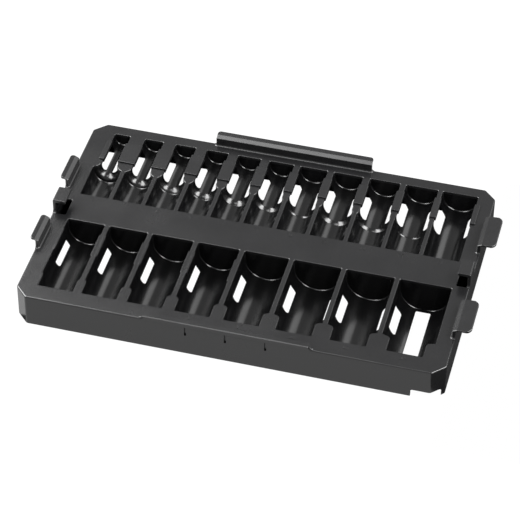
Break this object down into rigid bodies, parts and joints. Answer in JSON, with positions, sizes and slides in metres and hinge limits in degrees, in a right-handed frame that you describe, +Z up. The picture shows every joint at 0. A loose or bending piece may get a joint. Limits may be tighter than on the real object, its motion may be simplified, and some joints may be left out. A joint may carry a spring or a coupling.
{
  "type": "socket storage tray",
  "caption": "Open moulded tray that holds deep sockets lying in two rows of half-round cradles, with a rear grip flange, side tabs and hooks.",
  "frame": {"origin": "centre of the base, under the middle of the whole part's box", "axes": "+X along the rows of pockets towards the largest sizes, +Y to the back edge with the grip flange, +Z up out of the pockets"},
  "size_m": [0.2982, 0.1874, 0.0344],
  "materials": {
    "deck_plastic": "satin moulded, fine texture",
    "cradle_plastic": "semi-gloss moulded",
    "skirt_plastic": "satin moulded, fine texture",
    "flange_plastic": "satin moulded"
  },
  "bodies": {
    "root": {"deck_back_rail": "deck_plastic", "deck_centre_band": "deck_plastic", "deck_front_rail": "deck_plastic", "deck_left_rail": "deck_plastic", "deck_right_rail": "deck_plastic", "skirt_back": "skirt_plastic", "skirt_front": "skirt_plastic", "skirt_left": "skirt_plastic", "skirt_right": "skirt_plastic", "rear_grip": "flange_plastic", "front_lip": "flange_plastic", "left_tab_rear": "flange_plastic", "left_tab_front": "flange_plastic", "right_tab_rear": "flange_plastic", "right_tab_front": "flange_plastic", "left_hook": "flange_plastic", "right_hook": "flange_plastic", "socket_cradle_06mm": "cradle_plastic", "socket_cradle_07mm": "cradle_plastic", "socket_cradle_08mm": "cradle_plastic", "socket_cradle_09mm": "cradle_plastic", "socket_cradle_10mm": "cradle_plastic", "socket_cradle_11mm": "cradle_plastic", "socket_cradle_12mm": "cradle_plastic", "socket_cradle_13mm": "cradle_plastic", "socket_cradle_14mm": "cradle_plastic", "socket_cradle_15mm": "cradle_plastic", "socket_cradle_16mm": "cradle_plastic", "socket_cradle_17mm": "cradle_plastic", "socket_cradle_18mm": "cradle_plastic", "socket_cradle_19mm": "cradle_plastic", "socket_cradle_20mm": "cradle_plastic", "socket_cradle_21mm": "cradle_plastic", "socket_cradle_22mm": "cradle_plastic", "socket_cradle_23mm": "cradle_plastic", "socket_cradle_24mm": "cradle_plastic", "divider_06_07": "deck_plastic", "divider_07_08": "deck_plastic", "divider_08_09": "deck_plastic", "divider_09_10": "deck_plastic", "divider_10_11": "deck_plastic", "divider_11_12": "deck_plastic", "divider_12_13": "deck_plastic", "divider_13_14": "deck_plastic", "divider_14_15": "deck_plastic", "divider_15_16": "deck_plastic", "divider_17_18": "deck_plastic", "divider_18_19": "deck_plastic", "divider_19_20": "deck_plastic", "divider_20_21": "deck_plastic", "divider_21_22": "deck_plastic", "divider_22_23": "deck_plastic", "divider_23_24": "deck_plastic"}
  },
  "joints": []
}
